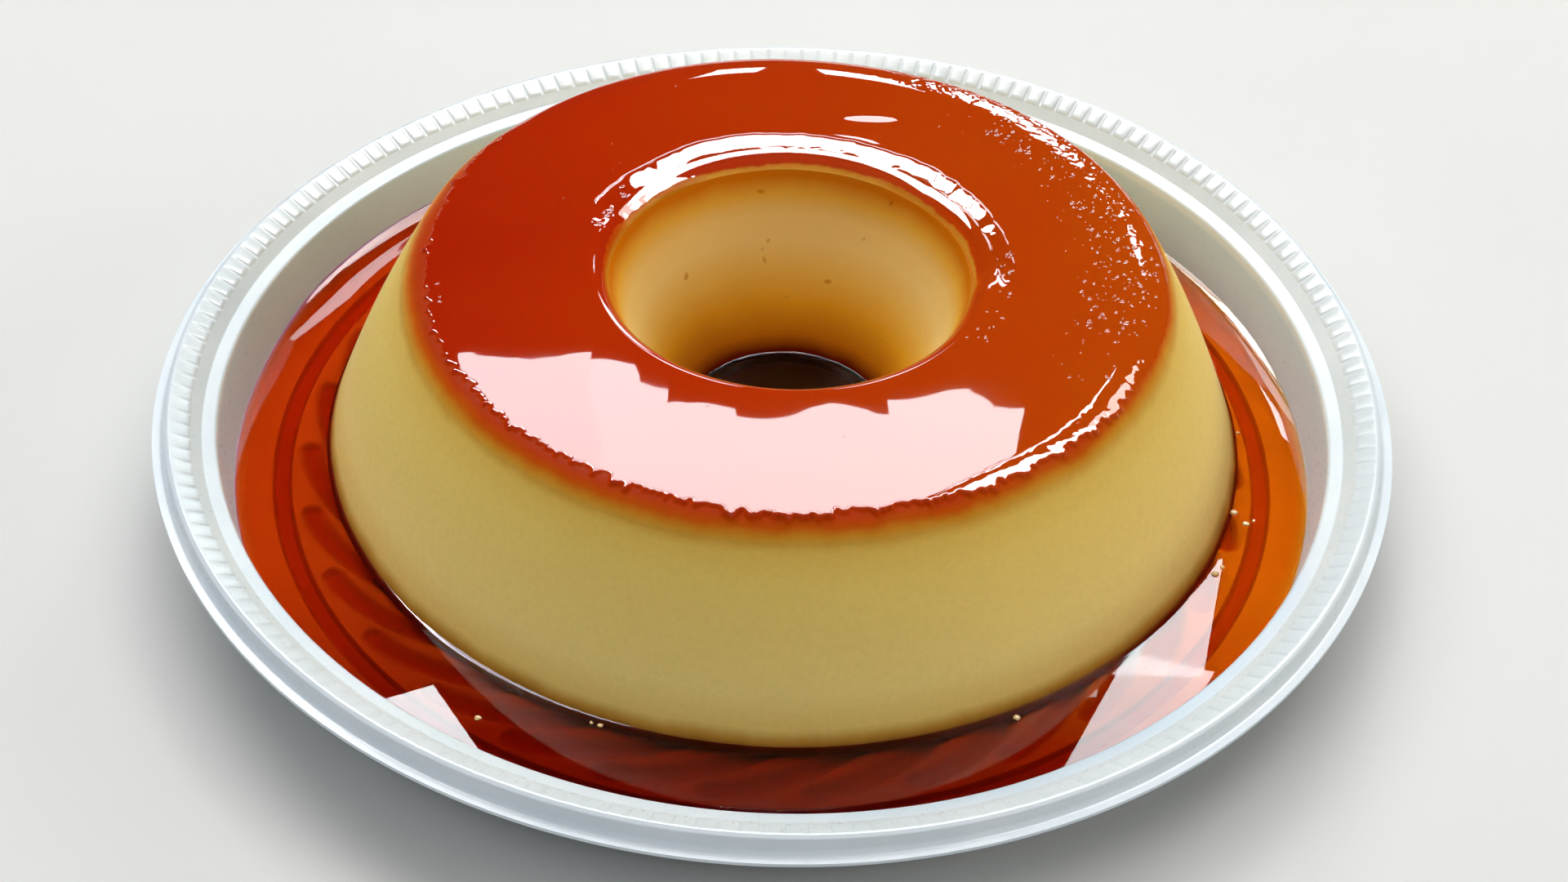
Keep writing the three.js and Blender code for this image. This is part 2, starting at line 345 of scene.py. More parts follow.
def mixed(nodes, links, factor, first, second, blend="MIX"):
    """Two colours mixed by a factor, which may be a value or an output."""
    mix = nodes.new("ShaderNodeMix")
    mix.data_type = "RGBA"
    mix.blend_type = blend
    if isinstance(factor, float):
        mix.inputs["Factor"].default_value = factor
    else:
        links.new(factor, mix.inputs["Factor"])
    links.new(first, mix.inputs[6])
    links.new(second, mix.inputs[7])
    return mix.outputs[2]


def noise_in(nodes, links, scale, detail=2.0, rough=0.5):
    """A noise over the object's own coordinates, its scale in waves per metre."""
    place = nodes.new("ShaderNodeTexCoord")
    grain = nodes.new("ShaderNodeTexNoise")
    grain.inputs["Scale"].default_value = scale
    grain.inputs["Detail"].default_value = detail
    grain.inputs["Roughness"].default_value = rough
    links.new(place.outputs["Object"], grain.inputs["Vector"])
    return grain.outputs["Fac"]


def ramp_in(nodes, links, source, *stops):
    """A colour ramp over a value, with stops of (place, colour)."""
    ramp = nodes.new("ShaderNodeValToRGB")
    elements = ramp.color_ramp.elements
    while len(elements) < len(stops):
        elements.new(0.5)
    for element, (place, colour) in zip(elements, stops):
        element.position = place
        element.color = colour
    links.new(source, ramp.inputs["Fac"])
    return ramp.outputs["Color"]


def bump_in(nodes, links, shader, height, distance, strength=1.0):
    """A bump from a height of 0 to 1 that stands for a distance in metres."""
    bump = nodes.new("ShaderNodeBump")
    bump.inputs["Distance"].default_value = distance
    bump.inputs["Strength"].default_value = strength
    links.new(height, bump.inputs["Height"])
    links.new(bump.outputs["Normal"], shader.inputs["Normal"])
    return bump


white_plastic, nodes, links, shader = new_material("white plastic", IOR=1.49, Specular_IOR_Level=0.25)
tone = noise_in(nodes, links, 60)
white = ramp_in(nodes, links, tone, (0.3, linear(216, 225, 231)), (0.7, linear(225, 231, 236)))
height = axes_in(nodes, links)["Z"]
# Painted shade: the inner wall, from about 5 to 19 mm up, is tinted grey-blue for the shade that falls
# on it inside the plate.
WALL_PAINTED_SHADE_TINT = (0.78, 0.87, 0.95, 1)
painted_wall_shade = ramp_in(
    nodes, links, share_in(nodes, links, height, 0, 25 * MM),
    (0.2, grey(1)), (0.28, WALL_PAINTED_SHADE_TINT), (0.72, WALL_PAINTED_SHADE_TINT), (0.77, grey(1)))
links.new(mixed(nodes, links, 1.0, white, painted_wall_shade, "MULTIPLY"), shader.inputs["Base Color"])
wet = share_in(nodes, links, height, 6.2 * MM, 4.5 * MM)
grain = noise_in(nodes, links, 900, 3)
sheen = ramp_in(nodes, links, grain, (0.3, grey(0.26)), (0.7, grey(0.36)))
under_syrup = nodes.new("ShaderNodeMix")
under_syrup.inputs["B"].default_value = 1.0
links.new(wet, under_syrup.inputs["Factor"])
links.new(sheen, under_syrup.inputs["A"])
links.new(under_syrup.outputs["Result"], shader.inputs["Roughness"])
bump_in(nodes, links, shader, noise_in(nodes, links, 250, 2), 0.06 * MM)
finished("plate_sheet", plate_mesh, white_plastic, "white_plastic", "plate")

# ---- Flan ----
# A ring of baked custard turned out of its mould, soft and satin. It has a straight, slightly
# bulged side, a round shoulder and a funnel-shaped hole, and stands off-centre on the plate.

caramel_low, caramel_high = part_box("caramel_top")
FLAN_CENTRE = (caramel_low + caramel_high).xy / 2
FLAN_TOP = caramel_high.z
SYRUP_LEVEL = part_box("syrup_pool")[1].z
FOOT_RADIUS = 98.6 * MM
FOOT_ROUND = 0.9 * MM
SIDE_BULGE = 0.9 * MM
SHOULDER_RADIUS = 73 * MM
SHOULDER_ROUND = 9 * MM
SHOULDER_START = 24
LIP_RADIUS = 44.1 * MM
LIP_ROUND = 7 * MM
LIP_END = 157
HOLE_BOTTOM_RADIUS = 20.3 * MM
CARAMEL_START = 28
CARAMEL_END = 152
CARAMEL_LAYER = 1.5 * MM
FLAN_STEPS = 384


def bend(centre_radius, centre_height, radius, start, end, steps):
    """Points of an arc in a profile, its angles in degrees from straight outwards."""
    angles = [math.radians(start + (end - start) * step / steps) for step in range(steps + 1)]
    return [Vector((centre_radius + radius * math.cos(a), centre_height + radius * math.sin(a)))
            for a in angles]


def shoulder(depth, start, end, steps):
    return bend(SHOULDER_RADIUS, FLAN_TOP - SHOULDER_ROUND, SHOULDER_ROUND - depth, start, end, steps)


def hole_lip(depth, start, end, steps):
    return bend(LIP_RADIUS, FLAN_TOP - LIP_ROUND, LIP_ROUND - depth, start, end, steps)


def side_point(share):
    """The flan's side at a share of the way from its foot to its shoulder."""
    foot = Vector((FOOT_RADIUS, FLOOR_TOP + 0.3 * MM + FOOT_ROUND))
    top = shoulder(0, SHOULDER_START, 90, 1)[0]
    return foot.lerp(top, share) + Vector((4 * SIDE_BULGE * share * (1 - share), 0))


def hole_point(share):
    """The hole's wall at a share of the way from its lip down to the plate."""
    top = hole_lip(0, LIP_END, LIP_END, 1)[0]
    return top.lerp(Vector((HOLE_BOTTOM_RADIUS, FLOOR_TOP)), share)


def settle(mesh, centre=FLAN_CENTRE):
    """Gives the turned-out ring its slight unevenness, and moves it to its place on the plate."""
    for vertex in mesh.verts:
        radius = vertex.co.xy.length
        azimuth = azimuth_of(vertex.co)
        low = 1 - min(vertex.co.z / FLAN_TOP, 1)
        wave = noise.noise(Vector((math.sin(azimuth), math.cos(azimuth), 0)) * 1.7)
        lean = 0.9 * MM * low * math.cos(azimuth + math.radians(38))
        swell = (0.6 * MM * wave + lean) * (radius > 60 * MM)
        fine = noise.noise(vertex.co * 45) * 0.12 * MM + noise.noise(vertex.co * 140) * 0.04 * MM
        outwards = Vector((math.sin(azimuth), -math.cos(azimuth)))
        dip = 0.03 * MM * (1 + noise.noise(Vector((*vertex.co.xy, 0)) * 55)) * (vertex.co.z > 40 * MM)
        vertex.co.xy = outwards * (radius + swell * 0.5 + fine)
        vertex.co.z -= dip
    bmesh.ops.translate(mesh, verts=mesh.verts, vec=(*centre, 0))


custard_line = (
    [Vector((HOLE_BOTTOM_RADIUS + step * (FOOT_RADIUS - FOOT_ROUND - HOLE_BOTTOM_RADIUS) / 4, FLOOR_TOP))
     for step in range(5)]
    + [side_point(step / 30) for step in range(31)]
    + shoulder(0, SHOULDER_START, CARAMEL_START, 2)[1:]
    + shoulder(0.05 * MM, CARAMEL_START, CARAMEL_START, 1)[:1]
    + shoulder(0.8 * CARAMEL_LAYER, CARAMEL_START + 4, 90, 8)
    + hole_lip(0.9 * CARAMEL_LAYER, 90, CARAMEL_END - 4, 8)
    + hole_lip(0.05 * MM, CARAMEL_END, CARAMEL_END, 1)[:1]
    + hole_lip(0, CARAMEL_END, LIP_END, 2)
    + [hole_point(step / 28) for step in range(1, 28)]
)
custard_mesh = turned(custard_line, FLAN_STEPS, closed=True)
hole = custard_mesh.verts.layers.float.new("hole")
for vertex in custard_mesh.verts:
    vertex[hole] = float(smooth_step((60 * MM - vertex.co.xy.length) / (10 * MM)))
settle(custard_mesh)

HEIGHT_SPAN = 50 * MM


def height_in(nodes, links, scale, waver, detail=3.0):
    """The height above the table as a share of the span, wavering by a noise."""
    wave = noise_in(nodes, links, scale, detail)
    height = scaled_in(nodes, links, wave, waver, axes_in(nodes, links)["Z"])
    return share_in(nodes, links, height, waver / 2, HEIGHT_SPAN + waver / 2)


def attribute_in(nodes, name):
    attribute = nodes.new("ShaderNodeAttribute")
    attribute.attribute_name = name
    return attribute.outputs["Fac"]


def by_height(nodes, links, level, *stops):
    """A colour ramp over the height, with stops of (height in millimetres, screen colour)."""
    shares = ((z * MM / HEIGHT_SPAN, linear(*colour)) for z, colour in stops)
    return ramp_in(nodes, links, level, *shares)


def flan_skin(name, **settings):
    """The flan's outer skin by height: brown near the syrup, pale yellow, then soaked orange on top."""
    material, nodes, links, shader = new_material(name, IOR=1.42, **settings)
    level = height_in(nodes, links, 120, 1.6 * MM)
    side = by_height(
        nodes, links, level, (5.0, (112, 44, 8)), (7.2, (186, 136, 52)), (9.5, (226, 192, 108)),
        (16, (234, 205, 124)), (36, (230, 196, 104)), (41.5, (224, 184, 88)), (44.2, (204, 138, 38)),
        (45.7, (188, 78, 2)), (46.8, (184, 54, 0)))
    pores = noise_in(nodes, links, 700, 4, 0.7)
    grain = ramp_in(nodes, links, pores, (0.35, grey(0.95)), (0.6, grey(1)))
    skin = mixed(nodes, links, 1.0, side, grain, "MULTIPLY")
    links.new(skin, shader.inputs["Base Color"])
    return material, nodes, links, shader, level, skin


MOIST = {
    "Subsurface_Weight": 0.25, "Subsurface_Scale": 2.5 * MM, "Subsurface_Radius": (1.0, 0.6, 0.25),
    "Specular_IOR_Level": 0.03}
custard, nodes, links, shader, level, skin = flan_skin("custard", **MOIST)
hole_skin = by_height(
    nodes, links, level, (6.5, (96, 20, 2)), (10, (190, 110, 12)), (17, (228, 162, 34)),
    (23, (236, 188, 84)), (30, (238, 204, 124)), (35, (236, 198, 116)), (39.5, (226, 166, 56)),
    (43, (204, 112, 6)))
in_hole = attribute_in(nodes, "hole")
whole_skin = mixed(nodes, links, in_hole, skin, hole_skin)
spots = noise_in(nodes, links, 240, 1)
speck = ramp_in(nodes, links, spots, (0.73, grey(1)), (0.77, (0.74, 0.58, 0.4, 1)))
links.new(mixed(nodes, links, in_hole, whole_skin, speck, "MULTIPLY"), shader.inputs["Base Color"])
gloss = ramp_in(nodes, links, noise_in(nodes, links, 500), (0.3, grey(0.4)), (0.7, grey(0.5)))
links.new(gloss, shader.inputs["Roughness"])
bump_in(nodes, links, shader, noise_in(nodes, links, 900, 3), 0.05 * MM, 0.5)
finished("custard_ring", custard_mesh, custard, "custard", "flan")

# ---- Caramel ----
# The bottom of the mould's caramel, soaked into the custard's top and over its round edges. It is a
# thin wet layer, clear deep orange, with tiny bubbles where it has run.

FILM_OUTER = (70 * MM, 79.4 * MM)
FILM_INNER = (38.6 * MM, 43.4 * MM)
FILM_ROW = 0.22 * MM
FILM_DROP = 0.5 * MM
FILM_DIP = 0.15 * MM
FILM_FOOT = 44.5 * MM
LIP_START = 46.6 * MM
LIP_KINK = 0.24
LIP_KINK_WIDTH = 0.18 * MM
LIP_DEEPEST = 1.1 * MM
NEAR_LIP = 41.9 * MM
NEAR_LIP_BEND = 5.2 * MM
DENT = (17 * MM, 50.8 * MM)
DENT_SPREAD = (9 * MM, 2.4 * MM, 5 * MM)
DENT_DEPTH = 0.32 * MM


def edge_height(centre_radius, rounding, radius):
    """The height of one of the top's rounded edges at this distance from the axis."""
    return FLAN_TOP - rounding + math.sqrt(max(rounding**2 - (radius - centre_radius) ** 2, 0))


def skin_at(radius):
    """The height of the flan's top at this distance from its axis."""
    if radius > SHOULDER_RADIUS:
        return edge_height(SHOULDER_RADIUS, SHOULDER_ROUND, radius)
    if radius < LIP_RADIUS:
        return edge_height(LIP_RADIUS, LIP_ROUND, radius)
    return FLAN_TOP


def film_rows(inner, outer):
    """Points of the flan's top from the outer radius to the inner one, a row apart."""
    count = round((outer - inner) / FILM_ROW)
    radii = [outer + (inner - outer) * step / count for step in range(count + 1)]
    return [Vector((radius, skin_at(radius))) for radius in radii]


first_turn = math.degrees(math.acos((FILM_OUTER[1] - SHOULDER_RADIUS) / SHOULDER_ROUND))
last_turn = math.degrees(math.acos((FILM_INNER[0] - LIP_RADIUS) / LIP_ROUND))
caramel_line = (
    shoulder(0, CARAMEL_START, first_turn, 10)[:-1]
    + film_rows(*FILM_OUTER)
    + [Vector((FILM_OUTER[0] + (LIP_RADIUS - FILM_OUTER[0]) * step / 36, FLAN_TOP))
       for step in range(1, 37)]
    + film_rows(*FILM_INNER)
    + hole_lip(0, last_turn, CARAMEL_END, 10)[1:]
    + hole_lip(CARAMEL_LAYER, CARAMEL_END, 90, 8)
    + shoulder(CARAMEL_LAYER, 90, CARAMEL_START, 8)
)
caramel_mesh = turned(caramel_line, FLAN_STEPS, closed=True)
finer(caramel_mesh, *FILM_OUTER, 45 * MM, 2)
finer(caramel_mesh, *FILM_INNER, 46.6 * MM, 1)


def ragged(azimuth, radius, coarse, fine):
    """A ragged line round the flan, as an addition to its radius."""
    place = Vector((math.sin(azimuth), -math.cos(azimuth), 0)) * radius
    wave = noise.noise(place * 70) * coarse + noise.noise(place * 260) * coarse * 0.6
    return wave + (noise.noise(place * 450) + 0.7 * noise.noise(place * 1050)) * fine


def window_of(value, rise, hold, fall, end):
    """A smooth step up from rise to hold, and down again from fall to end."""
    return float(smooth_step((value - rise) / (hold - rise)) * smooth_step((end - value) / (end - fall)))


def far_side(azimuth):
    """How much an azimuth belongs to the far side, where the film runs down more gently."""
    return window_of(math.degrees(azimuth) % 360, 50, 80, 215, 255)


def far_lip(azimuth):
    """How much an azimuth belongs to the far side of the hole, where the film bends down into it."""
    return window_of(math.degrees(azimuth) % 360, 80, 94, 244, 256)


def film_edges(azimuth):
    """The wet film at an azimuth: where it bends down, how sharply, and its outer and inner edge."""
    turn = math.degrees(azimuth) % 360
    right = window_of(turn, 2, 34, 50, 75) + window_of(turn, 50, 75, 225, 262)
    far = far_side(azimuth)
    front = math.exp(-(((turn + 180) % 360 - 177) / 13) ** 2)
    start = (80 - 6.6 * right - 3.4 * far) * MM
    roundness = (13 + 7 * far) * MM
    outer = (75.9 + 1.6 * front + 2 * right + 1 * far) * MM
    outer += ragged(azimuth, 76 * MM, 0.5 * MM, 1.5 * MM * (1 - 0.75 * far))
    inner = 39.2 * MM + ragged(azimuth, 40 * MM, 0.4 * MM, 0.2 * MM)
    return start, roundness, outer, inner


def lip_height(reach, radius, azimuth, skin_height):
    """The caramel's surface over the hole's lip, a reach inside the line where it bends down."""
    bend_radius = (18 + 8 * math.cos(azimuth + math.radians(120))) * MM
    kink = LIP_KINK * reach * (1 - math.exp(-reach / LIP_KINK_WIDTH))
    far_level = FLAN_TOP - kink - reach**2 / (2 * bend_radius)
    far_level = min(skin_height, max(far_level, skin_height - LIP_DEEPEST))
    near_level = FLAN_TOP - max(NEAR_LIP - radius, 0) ** 2 / NEAR_LIP_BEND
    near_level = max(near_level, skin_height)
    raised = (near_level - skin_height) * float(smooth_step((skin_height - FILM_FOOT) / (1.5 * MM)))
    far = far_lip(azimuth)
    return skin_height + (far_level - skin_height) * far + raised * (1 - far)


def dent_depth(radius, azimuth):
    """The depth of the shallow dent beside the hole."""
    across = (radius * math.sin(azimuth) - DENT[0]) / DENT_SPREAD[0]
    back = -radius * math.cos(azimuth) - DENT[1]
    back /= DENT_SPREAD[1 if back > 0 else 2]
    dent = math.exp(-(across**2) / 2 - back**2 / 2)
    return DENT_DEPTH * dent * float(smooth_step((radius - 44 * MM) / (4 * MM)))


def film_grain(radius, azimuth):
    """The film's fine relief: pitted over the far right shoulder, and nearly flat elsewhere."""
    turn = math.degrees(azimuth) % 360
    rough = window_of(turn, 84, 128, 150, 172) * window_of(radius / MM, 70.5, 73.5, 78.5, 80)
    rough += 0.4 * window_of(turn, 15, 50, 84, 128) * window_of(radius / MM, 73, 75, 79, 80)
    place = Vector((math.sin(azimuth), -math.cos(azimuth), 0)) * radius
    pits = noise.noise(place * 420) + 0.7 * noise.noise(place * 900) + 0.3 * noise.noise(place * 1800)
    waves = noise.noise(place * 90) + 0.5 * noise.noise(place * 220)
    return 0.1 * MM * rough * pits + 0.004 * MM * waves


def film_height(radius, azimuth, skin_height):
    """The height of the caramel's surface, and how much of the wet film covers it there."""
    start, roundness, outer, inner = film_edges(azimuth)
    lip_start = LIP_START + ragged(azimuth, 50 * MM, 0.8 * MM, 0.1 * MM)
    inside = float(smooth_step((outer - radius) / FILM_DROP + 0.5))
    wet = min(inside, float(smooth_step((radius - inner) / (0.4 * MM) + 0.5)))
    level = FLAN_TOP - max(radius - start, 0) ** 2 / (2 * roundness)
    height = skin_height
    if radius > 60 * MM:
        far = far_side(azimuth)
        near_level, far_level = max(level, skin_height), min(level, skin_height)
        height += (near_level * (1 - far) + far_level * far - skin_height) * inside
    elif radius < lip_start:
        height = lip_height(lip_start - radius, radius, azimuth, skin_height)
    height += film_grain(radius, azimuth) - dent_depth(radius, azimuth)
    dip = FILM_DIP * float(smooth_step((height - FILM_FOOT) / (3 * MM)))
    return min(height, FLAN_TOP) - dip, wet


film = caramel_mesh.verts.layers.float.new("film")
for vertex in caramel_mesh.verts:
    if vertex.co.z < FILM_FOOT or not vertex.normal.z > -0.5:
        continue
    radius, azimuth = vertex.co.xy.length, azimuth_of(vertex.co)
    vertex.co.z, vertex[film] = film_height(radius, azimuth, vertex.co.z)
settle(caramel_mesh)
caramel, nodes, links, shader, level, skin = flan_skin(
    "caramel", Coat_Roughness=0.01, Coat_IOR=1.44, **MOIST)
# The wet film's amber runs from darker at the left to lighter at the right: painted light, the right
# side being the more lit one.
across = scaled_in(nodes, links, noise_in(nodes, links, 25, 3), 60 * MM, axes_in(nodes, links)["X"])
amber = ramp_in(
    nodes, links, share_in(nodes, links, across, -60 * MM, 120 * MM),
    (0.0, linear(166, 24, 0)), (0.3, linear(181, 42, 0)), (0.6, linear(184, 54, 0)),
    (1.0, linear(190, 74, 2)))
wet = attribute_in(nodes, "film")
links.new(mixed(nodes, links, wet, skin, amber), shader.inputs["Base Color"])
links.new(ramp_in(nodes, links, wet, (0.35, grey(0.45)), (0.65, grey(0.03))), shader.inputs["Roughness"])
links.new(ramp_in(nodes, links, wet, (0.35, grey(0)), (0.65, grey(1))), shader.inputs["Coat Weight"])
finished("caramel_glaze", caramel_mesh, caramel, "caramel", "caramel_top")

# Tiny bubbles in the film: how many, between which azimuths and radii, and how large.
BUBBLES = (
    (230, 82, 140, 64, 77.6, 0.25, 0.75), (40, 88, 150, 58, 68, 0.15, 0.35),
    (60, 58, 88, 60, 76, 0.25, 0.8), (30, 54, 98, 42.5, 47, 0.3, 0.7),
    (9, -126, -104, 42, 45, 0.6, 1.2), (20, -170, 40, 48, 72, 0.12, 0.3),
    (3, -84, -76, 73, 75.4, 0.5, 1.1))
random.seed(7)
bubble_mesh = bmesh.new()
for count, low_turn, high_turn, low_reach, high_reach, smallest, largest in BUBBLES:
    for number in range(count):
        azimuth = math.radians(random.uniform(low_turn, high_turn)) % math.tau
        radius = random.uniform(low_reach, high_reach) * MM
        size = (smallest + (largest - smallest) * random.random() ** 2.2) * MM
        level = film_height(radius, azimuth, skin_at(radius))[0]
        centre = math.sin(azimuth) * radius, -math.cos(azimuth) * radius, level - 0.03 * size
        place = Matrix.Translation(centre)
        turn = Matrix.Rotation(random.uniform(0, math.pi), 4, "Z")
        narrow, tall = size * random.uniform(0.55, 1), min(0.24 * size, FLAN_TOP - level)
        shape = Matrix.Diagonal((size, narrow, tall, 1))
        bmesh.ops.create_icosphere(bubble_mesh, subdivisions=2, radius=1, matrix=place @ turn @ shape)
film = bubble_mesh.verts.layers.float.new("film")
for vertex in bubble_mesh.verts:
    vertex[film] = 1.0
settle(bubble_mesh)
finished("caramel_bubbles", bubble_mesh, caramel, "caramel")

# ---- Syrup ----
# Thin liquid caramel that has run off the flan: a pool round it and a little in its hole. It is clear
# amber-red, level on top, and climbs slightly where it meets the flan and the plate.

LEFT_WALL_CLIMB = (1.8 * MM, 2.8 * MM)
RIGHT_WALL_CLIMB = (1.1 * MM, 2 * MM)
FOOT_CLIMB = (0.26 * MM, 0.32 * MM)
WELL_CLIMB = (0.3 * MM, 0.5 * MM)
BED = 0.45 * MM
POOL_BOTTOM = -2 * MM
POOL_ROWS = 26


def wall_radius(height):
    return WALL_FOOT[0] + (height - WALL_FOOT[1]) * math.tan(WALL_DRAFT)


def side_radius(height):
    low, high = side_point(0), side_point(0.1)
    return low.x + (height - low.y) * (high.x - low.x) / (high.y - low.y)


def climb(away, rise, reach):
    """How far the syrup climbs at this distance from a wall."""
    return rise * math.exp(-max(away, 0) / reach)


crowd = [0.5 - 0.5 * math.cos(math.pi * row / POOL_ROWS) for row in range(POOL_ROWS + 1)]
pool_line = [Vector((1 + share, SYRUP_LEVEL)) for share in crowd]
pool_line += [Vector((2, POOL_BOTTOM)), Vector((1, POOL_BOTTOM))]
pool_mesh = turned(pool_line, BASE_STEPS, closed=True)
for vertex in pool_mesh.verts:
    share = vertex.co.xy.length - 1
    outwards = Vector((math.sin(azimuth_of(vertex.co)), -math.cos(azimuth_of(vertex.co))))
    height = vertex.co.z
    inner = FLAN_CENTRE + outwards * (side_radius(SYRUP_LEVEL) - 0.5 * MM)
    outer = outwards * (wall_radius(SYRUP_LEVEL) + 0.4 * MM)
    place = inner.lerp(outer, share)
    if height > POOL_BOTTOM / 2:
        from_flan = (place - FLAN_CENTRE).length - side_radius(SYRUP_LEVEL)
        from_wall = wall_radius(SYRUP_LEVEL) - place.length
        turn = math.degrees(azimuth_of(place)) % 360
        height += climb(from_flan, *FOOT_CLIMB) * (0.35 + 0.65 * window_of(turn, 308, 318, 340, 350))
        height += climb(from_wall, *RIGHT_WALL_CLIMB) * window_of(turn, 88, 112, 150, 180)
        height += climb(from_wall, *LEFT_WALL_CLIMB) * window_of(turn, 180, 210, 242, 262)
    vertex.co = (*place, height)

bed_corners = floor_corners(FLOOR_TOP - BED) + [
    (WALL_FOOT[0] + BED, FLOOR_TOP - BED, WALL_FOOT_ROUND),
    (wall_radius(12 * MM) + BED, 12 * MM, 0),
    (140 * MM, 12 * MM, 0), (140 * MM, -6 * MM, 0), (0, -6 * MM, 0)]
bed_line = spread(rounded(bed_corners, 5), 0.75 * MM, *STROKE_ZONE)
bed_mesh = turned(bed_line)
finer(bed_mesh, *STROKE_ZONE, FLOOR_TOP - SHEET, 2)
press_strokes(bed_mesh, 0)


def loose(name, mesh):
    """A mesh as an object of its own, to cut with."""
    data = bpy.data.meshes.new(name)
    mesh.to_mesh(data)
    mesh.free()
    piece = bpy.data.objects.new(name, data)
    bpy.context.scene.collection.objects.link(piece)
    return piece


pool_block = loose("pool_block", pool_mesh)
plate_block = loose("plate_block", bed_mesh)
cut = pool_block.modifiers.new("cut", "BOOLEAN")
cut.operation = "DIFFERENCE"
cut.solver = "EXACT"
cut.object = plate_block
bpy.context.view_layer.update()
depsgraph = bpy.context.evaluated_depsgraph_get()
cut_data = bpy.data.meshes.new_from_object(pool_block.evaluated_get(depsgraph))
pool_cut = bmesh.new()
pool_cut.from_mesh(cut_data)
bpy.data.objects.remove(pool_block)
bpy.data.objects.remove(plate_block)


# The syrup's tint from front to back and from left to right, in stops of (share, red, green, blue):
# painted shade, darkest at the front where the flan shades the pool, and a little darker to the left,
# away from the light.
SYRUP_PAINTED_SHADE = (
    ("Y", -100 * MM, 80 * MM, (
        (0.0, 0.17, 0.02, 0.1), (0.11, 0.36, 0.12, 0.3), (0.22, 0.62, 0.5, 1), (0.36, 0.9, 0.95, 1),
        (1.0, 1, 1, 1))),
    ("X", -100 * MM, 100 * MM, ((0.0, 0.74, 0.32, 1), (0.5, 0.85, 0.5, 1), (0.9, 1, 1, 1))))


def clear_syrup(name, colour, density, gloss):
    """Clear syrup, of this colour and depth of colour, with painted shade: darker to the front and a
    little to the left.
    """
    material, nodes, links, shader = new_material(
        name, IOR=1.4, Roughness=0.0, Transmission_Weight=1.0, Specular_Tint=grey(gloss))
    axes = axes_in(nodes, links)
    shade_tints = []
    for axis, low, high, stops in SYRUP_PAINTED_SHADE:
        wavering = scaled_in(nodes, links, noise_in(nodes, links, 40), 12 * MM, axes[axis])
        along = share_in(nodes, links, wavering, low, high)
        shade_tints.append(ramp_in(nodes, links, along, *((share, (*tint, 1)) for share, *tint in stops)))
    links.new(mixed(nodes, links, 1.0, *shade_tints, "MULTIPLY"), shader.inputs["Base Color"])
    depth = nodes.new("ShaderNodeVolumeAbsorption")
    depth.inputs["Color"].default_value = (*colour, 1)
    depth.inputs["Density"].default_value = density
    links.new(depth.outputs["Volume"], nodes["Material Output"].inputs["Volume"])
    return material


syrup = clear_syrup("syrup", (0.904, 0.648, 0.0), 900, 0.4)
# The syrup in the hole has a denser, darker colour than the pool's: painted shade, for the little light
# that reaches down the hole.
well_syrup_painted_shade = clear_syrup("well syrup with painted shade", (0.76, 0.1, 0.25), 2400, 0.3)
finished("syrup_round_flan", pool_cut, syrup, "syrup", "syrup_pool")

WELL_RADIUS = HOLE_BOTTOM_RADIUS + 1.2 * MM
well_line = [Vector((WELL_RADIUS * math.sqrt(row / 16), SYRUP_LEVEL)) for row in range(17)]
well_line = spread(well_line, 0.5 * MM, 18 * MM)
well_line += [Vector((HOLE_BOTTOM_RADIUS + 0.4 * MM, FLOOR_TOP - BED)), Vector((0, FLOOR_TOP - BED))]
well_mesh = turned(well_line, 128)
well_wall = HOLE_BOTTOM_RADIUS + 1.4 * MM
for vertex in well_mesh.verts:
    if vertex.co.z > FLOOR_TOP:
        vertex.co.z += climb(well_wall - vertex.co.xy.length, *WELL_CLIMB)
bmesh.ops.translate(well_mesh, verts=well_mesh.verts, vec=(*FLAN_CENTRE, 0))
finished("syrup_in_hole", well_mesh, well_syrup_painted_shade, "syrup", "syrup_well")

# Crumbs of custard that float where the syrup meets the flan: where, and how large, in millimetres.
CRUMBS = (
    (-55.6, -83.5, 0.7), (-31.8, -84.6, 0.6), (-33.6, -83.8, 0.35), (49.2, -79.2, 0.75),
    (91.9, -36.7, 0.9), (93.6, -34.6, 0.5), (97.6, -17.8, 0.8), (99.9, -21.3, 0.75),
    (101.6, -20.2, 0.4), (101, 8, 0.5))
crumb_mesh = bmesh.new()
for x, y, size in CRUMBS:
    place = Matrix.Translation(Vector((x, y, 6.1)) * MM)
    shape = Matrix.Diagonal((size * MM, 0.8 * size * MM, 0.6 * size * MM, 1))
    bmesh.ops.create_icosphere(crumb_mesh, subdivisions=3, radius=1, matrix=place @ shape)
for vertex in crumb_mesh.verts:
    vertex.co += noise.noise_vector(vertex.co * 1300) * 0.22 * MM
crumb, nodes, links, shader = new_material("custard crumb", Roughness=0.4)
grain = noise_in(nodes, links, 900)
crumb_tone = ramp_in(nodes, links, grain, (0.35, linear(214, 160, 84)), (0.65, linear(238, 208, 146)))
links.new(crumb_tone, shader.inputs["Base Color"])
finished("custard_crumbs", crumb_mesh, crumb, "custard")

# ---- Table, light and camera ----
# A plain pale table top, a soft room light, tall windows behind the plate and a lamp to the right.

bpy.ops.mesh.primitive_plane_add(size=6, location=(0, 0, 0))
table = bpy.context.object
table.name = "table"
pale, nodes, links, shader = new_material("pale table", Roughness=0.7)
cloud = noise_in(nodes, links, 8)
table_tone = ramp_in(nodes, links, cloud, (0.3, linear(196, 194, 190)), (0.7, linear(200, 198, 194)))
links.new(table_tone, shader.inputs["Base Color"])
table.data.materials.append(pale)

